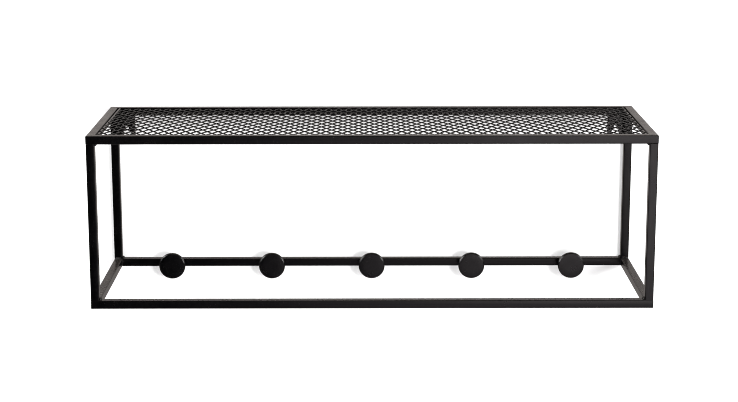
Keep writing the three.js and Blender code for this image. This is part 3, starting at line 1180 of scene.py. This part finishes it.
@dataclass
class HangingPlates:
    """The two flat bars that the rack hangs by."""

    workshop: Workshop
    keyhole: Keyhole
    corner_radius: float = 1.0 * MM
    corner_steps: int = 6
    edge_break: float = 0.35 * MM

    def build(self) -> None:
        """Makes both plates."""
        for side in (Side.LEFT, Side.RIGHT):
            node = f"hanging_plate_{side.word}"
            low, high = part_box(node)
            middle = (high.x + low.x) / 2
            outline = self.blank((high.x - low.x) / 2, high.z - low.z)
            blank = prism(outline, middle, high.z, low.y, high.y)
            hole = self.keyhole.outline()
            tool = prism(hole, middle, high.z, low.y - CUT_OVERRUN, high.y + CUT_OVERRUN)
            self.workshop.piece(f"{node}_bar", cut(blank, [tool], self.edge_break), Slot.PLATE, [node])

    def blank(self, half: float, height: float) -> Outline:
        """The plate's outline: square at the top, where it is welded, and eased at the bottom.

        Args:
            half: Half of its width.
            height: Its height.

        Returns:
            Its points, with the middle of the top edge at zero.
        """
        radius, steps = self.corner_radius, self.corner_steps
        left = arc((radius - half, radius - height), radius, 180, 270, steps)
        right = arc((half - radius, radius - height), radius, 270, 360, steps)
        return [(half, 0.0), (-half, 0.0), *left, *right]


@dataclass(frozen=True)
class CoatKnob:
    """A turned disc on a turned stem, held by a socket screw from the wall side."""

    rim_chamfer: float = 1.1 * MM
    rim_round: float = 0.45 * MM
    rim_steps: int = 4
    back_round: float = 0.5 * MM
    back_steps: int = 5
    disc_sharp_degrees: float = 25.0
    stem_fillet: float = 1.2 * MM
    fillet_steps: int = 6
    stem_chamfer: float = 0.3 * MM
    stem_gap: float = 0.05 * MM
    stem_sharp_degrees: float = 35.0
    spigot_length: float = 3 * MM
    spigot_radius: float = 3 * MM
    clearance: float = 0.3 * MM
    bore_radius: float = 2.3 * MM
    sides: int = 96

    def disc(self, low: Vector, high: Vector) -> Mesh:
        """The disc in its node's box.

        Args:
            low: The box's lowest corner.
            high: The box's highest corner.

        Returns:
            The disc.
        """
        radius = (high.x - low.x) / 2
        thick = high.y - low.y
        socket = self.spigot_radius + self.clearance
        depth = self.spigot_length + self.clearance
        flat = radius - self.rim_chamfer - self.rim_round
        lip = (radius - self.rim_round, self.rim_chamfer + self.rim_round - thick)
        profile = [(0.0, -thick), (flat * 0.5, -thick), (flat, -thick)]
        profile += arc((flat, self.rim_round - thick), self.rim_round, -90, -45, self.rim_steps)[1:]
        profile += arc(lip, self.rim_round, -45, 0, self.rim_steps)
        back = (radius - self.back_round, -self.back_round)
        profile += arc(back, self.back_round, 0, 90, self.back_steps)
        profile += [(socket, 0.0), (socket, -depth), (0.0, -depth)]
        body = turned(profile, self.sides, on_axis(low, high, high.y))
        return mesh_of(body, self.disc_sharp_degrees)

    def stem(self, low: Vector, high: Vector, screw_tip: float) -> Mesh:
        """The stem in its node's box, with a fillet of weld under the disc.

        Args:
            low: The box's lowest corner.
            high: The box's highest corner.
            screw_tip: Where the screw ends along Y.

        Returns:
            The stem.
        """
        radius = (high.x - low.x) / 2
        length = high.y - low.y
        shoulder = self.spigot_length - length
        rim = radius + self.stem_fillet
        bore_end = screw_tip - high.y - self.clearance
        profile = [(0.0, -length), (self.spigot_radius, -length), (self.spigot_radius, shoulder)]
        profile.append((rim, shoulder + self.stem_gap))
        fillet = (rim, shoulder + self.stem_fillet)
        profile += arc(fillet, self.stem_fillet, 270, 180, self.fillet_steps)
        profile += [(radius, -self.stem_chamfer), (radius - self.stem_chamfer, 0.0)]
        profile += [(self.bore_radius, 0.0), (self.bore_radius, bore_end), (0.0, bore_end)]
        body = turned(profile, self.sides // 2, on_axis(low, high, high.y))
        return mesh_of(body, self.stem_sharp_degrees)


@dataclass(frozen=True)
class SocketScrew:
    """A socket head cap screw along Y, with its head towards the wall."""

    head_height: float = 4 * MM
    head_round: float = 0.4 * MM
    head_steps: int = 4
    shank_radius: float = 2 * MM
    thread_depth: float = 0.25 * MM
    thread_pitch: float = 0.7 * MM
    socket_radius: float = 1.75 * MM
    socket_depth: float = 2 * MM
    socket_sides: int = 6
    sides: int = 48
    sharp_degrees: float = 30.0

    def build(self, low: Vector, high: Vector) -> Mesh:
        """The screw in its node's box.

        Args:
            low: The box's lowest corner.
            high: The box's highest corner.

        Returns:
            The screw.
        """
        head = (high.x - low.x) / 2
        seat = high.y - self.head_height
        foot = on_axis(low, high, 0.0)
        profile = [(0.0, low.y), (self.shank_radius - 2 * self.thread_depth, low.y)]
        for i in range(int((seat - low.y) / self.thread_pitch) - 1):
            at = low.y + (i + 0.5) * self.thread_pitch
            profile.append((self.shank_radius - self.thread_depth, at))
            profile.append((self.shank_radius, at + self.thread_pitch / 2))
        profile += [(self.shank_radius, seat), (head, seat)]
        ease = self.head_round
        profile += arc((head - ease, high.y - ease), ease, 0, 90, self.head_steps)
        profile.append((0.0, high.y))
        body = mesh_of(turned(profile, self.sides, foot), self.sharp_degrees)
        floor, over = high.y - self.socket_depth, high.y + CUT_OVERRUN
        return cut(body, [mesh_of(rod(self.socket_radius, floor, over, self.socket_sides, foot), None)])


@dataclass
class KnobRow:
    """The row of coat knobs on the rear bottom rail."""

    workshop: Workshop
    knob: CoatKnob
    screw: SocketScrew

    def build(self) -> None:
        """Makes every knob."""
        for number in range(1, KNOB_COUNT + 1):
            disc_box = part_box(f"knob_disc_{number}")
            stem_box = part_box(f"knob_stem_{number}")
            screw_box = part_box(f"knob_screw_{number}")
            disc = self.knob.disc(*disc_box)
            stem = self.knob.stem(*stem_box, screw_tip=screw_box[0].y)
            screw = self.screw.build(*screw_box)
            self.workshop.piece(f"coat_disc_{number}", disc, Slot.KNOB, [f"knob_disc_{number}"])
            self.workshop.piece(f"coat_stem_{number}", stem, Slot.KNOB, [f"knob_stem_{number}"])
            self.workshop.piece(f"stem_screw_{number}", screw, Slot.SCREW, [f"knob_screw_{number}"])


@dataclass(frozen=True)
class SoftBox:
    """A large soft lamp that looks at the rack."""

    name: str
    place: tuple[float, float, float]
    size: tuple[float, float]
    power: float
    target: tuple[float, float, float] = (0.0, -0.1, -0.12)
    colour: Colour = WHITE
    mirrored: bool = True

    def build(self) -> None:
        """Hangs the lamp."""
        lamp = bpy.data.lights.new(self.name, "AREA")
        lamp.shape = "RECTANGLE"
        lamp.size, lamp.size_y = self.size
        lamp.energy = self.power
        lamp.color = self.colour
        holder = bpy.data.objects.new(self.name, lamp)
        holder.visible_camera = False
        holder.visible_glossy = self.mirrored
        holder.location = self.place
        aim = Vector(self.target) - Vector(self.place)
        holder.rotation_euler = aim.to_track_quat("-Z", "Y").to_euler()
        bpy.context.scene.collection.objects.link(holder)


class Studio:
    """White wall and floor, soft lamps and the photograph's camera."""

    CAMERA_PLACE = Vector((-0.01012, -2.62024, 0.44486))
    CAMERA_PITCH = 0.2037
    CAMERA_YAW = 0.0024
    CAMERA_ROLL = -0.0011
    CAMERA_LENS = 84.33
    CAMERA_SHIFT = -0.04
    CAMERA_SEES = (0.01, 50.0)
    FILM_FILTER = 0.9
    WALL_GAP = 0.6 * MM
    WALL_HALF_WIDTH = 4.0
    WALL_TOP = 3.0
    FLOOR_LEVEL = -1.5
    FLOOR_FRONT = -1.4
    FILL_GLOW = 0.4
    MIRROR_GLOW = 0.004

    LAMPS = (
        SoftBox("key_left", (-0.4, -2.7, -0.5), (0.42, 1.8), 0.22, (-0.42, 0.0, -0.5), (0.9, 0.85, 1.0)),
        SoftBox("key_broad", (0.72, -2.7, -0.5), (1.76, 1.8), 5.0, (0.7, 0.0, -0.5), (1.0, 0.9, 0.95)),
        SoftBox("key_right", (0.97, -2.6, -0.22), (1.3, 1.2), 5.0, (0.97, 0.0, -0.22), (1.0, 0.93, 0.93)),
        SoftBox("shadow_key", (1.95, -4.6, 0.5), (0.7, 0.7), 205.0, mirrored=False),
        SoftBox("top_bank", (0.2, -0.9, 2.2), (3.0, 0.9), 30.0, mirrored=False),
        SoftBox("left_bank", (-2.4, -0.9, 1.0), (0.8, 1.6), 75.0),
        SoftBox("right_bank", (2.7, -0.9, 0.9), (0.8, 1.6), 45.0),
    )

    def build(self) -> None:
        """Sets the whole stage."""
        self.camera()
        self.world()
        half, front, level = self.WALL_HALF_WIDTH, self.FLOOR_FRONT, self.FLOOR_LEVEL
        foot, head = (self.WALL_GAP, level), (self.WALL_GAP, self.WALL_TOP)
        self.sheet("wall", StudioWhite("studio_wall", eye_share=0.35), half, foot, head)
        self.sheet("floor", StudioWhite("studio_floor"), half, (front, level), (-front, level))
        for lamp in self.LAMPS:
            lamp.build()
        bpy.context.scene.view_settings.view_transform = "Standard"
        bpy.context.scene.cycles.filter_width = self.FILM_FILTER

    def camera(self) -> None:
        """Places the camera at the photograph's viewpoint."""
        yaw, pitch = self.CAMERA_YAW, self.CAMERA_PITCH
        level = Vector((math.sin(yaw), math.cos(yaw), 0.0)) * math.cos(pitch)
        forward = level - Vector((0.0, 0.0, math.sin(pitch)))
        right = Vector((math.cos(yaw), -math.sin(yaw), 0.0))
        turn = Matrix((right, right.cross(forward), -forward)).transposed()
        data = bpy.data.cameras.new("camera")
        data.lens = self.CAMERA_LENS
        data.shift_y = self.CAMERA_SHIFT
        data.clip_start, data.clip_end = self.CAMERA_SEES
        camera = bpy.data.objects.new("camera", data)
        rolled = turn @ Matrix.Rotation(self.CAMERA_ROLL, 3, "Z")
        camera.matrix_world = Matrix.Translation(self.CAMERA_PLACE) @ rolled.to_4x4()
        bpy.context.scene.collection.objects.link(camera)
        bpy.context.scene.camera = camera

    def world(self) -> None:
        """White to the eye, a soft fill on matt surfaces and nearly black in the paint's reflections."""
        world = bpy.data.worlds.new("studio")
        world.use_nodes = True
        world.node_tree.nodes.clear()
        graph = Graph(world.node_tree)
        eye, mirror = graph.rays()
        fill = self.FILL_GLOW
        strength = eye * (1.0 - fill) + fill - mirror * (fill - self.MIRROR_GLOW)
        back = graph.out("ShaderNodeBackground", {"Color": (*WHITE, 1.0), "Strength": strength})
        graph.add("ShaderNodeOutputWorld", {"Surface": back})
        bpy.context.scene.world = world

    @staticmethod
    def sheet(
        name: str, white: StudioWhite, half: float, near: tuple[float, float], far: tuple[float, float]
    ) -> None:
        """Sets one plain sheet of the stage.

        Args:
            name: Its name.
            white: Its finish.
            half: Half of its width.
            near: Place of one long edge along Y and Z.
            far: Place of the other.
        """
        mesh = bpy.data.meshes.new(name)
        corners = [(-half, *near), (half, *near), (half, *far), (-half, *far)]
        mesh.from_pydata(corners, [], [(0, 1, 2, 3)])
        mesh.materials.append(white.build())
        sheet = bpy.data.objects.new(name, mesh)
        sheet.visible_shadow = False
        bpy.context.scene.collection.objects.link(sheet)


def main() -> None:
    """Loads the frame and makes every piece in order."""
    logging.basicConfig(level=logging.INFO, format="%(name)s: %(message)s")
    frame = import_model()
    LOG.info("frame of %d nodes", len(frame["nodes"]))
    tube = SquareTube()
    workshop = Workshop()
    Studio().build()
    TubeFrame(workshop, tube).build()
    CornerWelds(workshop, WeldBead(), tube).build()
    HatShelf(workshop, ExpandedMetal()).build()
    HangingPlates(workshop, Keyhole()).build()
    KnobRow(workshop, CoatKnob(), SocketScrew()).build()
    LOG.info("%d pieces made", workshop.made)


if __name__ == "__main__":
    main()
